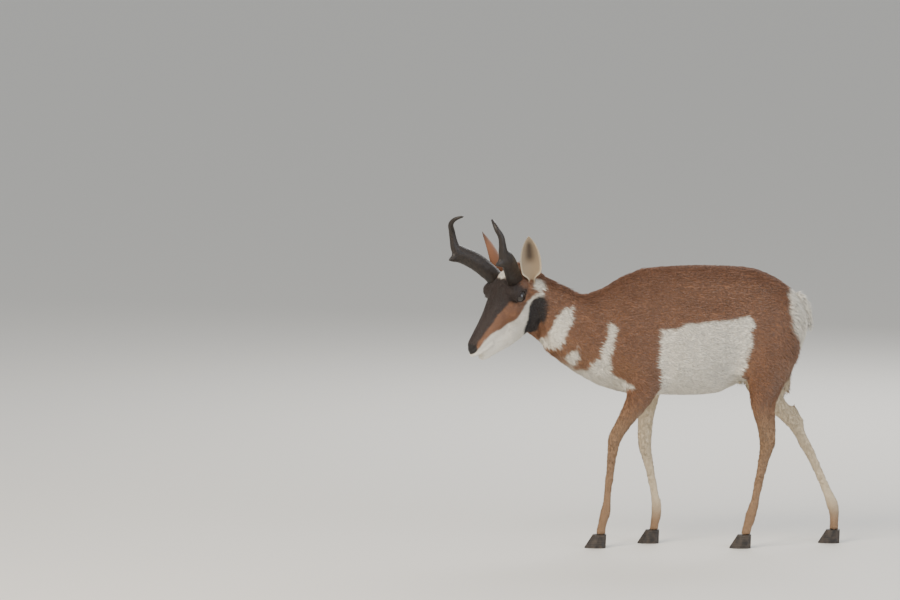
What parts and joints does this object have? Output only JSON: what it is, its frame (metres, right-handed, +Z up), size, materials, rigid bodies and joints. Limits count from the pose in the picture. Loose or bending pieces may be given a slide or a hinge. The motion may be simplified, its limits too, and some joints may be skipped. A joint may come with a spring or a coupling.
{
  "type": "pronghorn",
  "caption": "Life-size still model of a walking pronghorn buck, head lowered and turned to its left, with pronged black horns.",
  "frame": {"origin": "middle of the model's footprint box, on the ground", "axes": "-X the way the animal walks, -Y its left side, +Z up"},
  "size_m": [1.23, 0.3706, 1.0257],
  "materials": {
    "coat": "short flat hair, tan with white and black markings",
    "horn": "satin black horn sheath",
    "eye": "wet gloss",
    "hoof": "worn dark horn"
  },
  "bodies": {
    "root": {"torso": "coat", "neck": "coat", "head": "coat", "tail": "coat", "ear_left": "coat", "ear_right": "coat", "foreleg_left": "coat", "foreleg_right": "coat", "hindleg_left": "coat", "hindleg_right": "coat", "horn_left": "horn", "horn_right": "horn", "eye_left": "eye", "eye_right": "eye", "hoof_fore_left": "hoof", "hoof_fore_right": "hoof", "hoof_hind_left": "hoof", "hoof_hind_right": "hoof"}
  },
  "joints": []
}
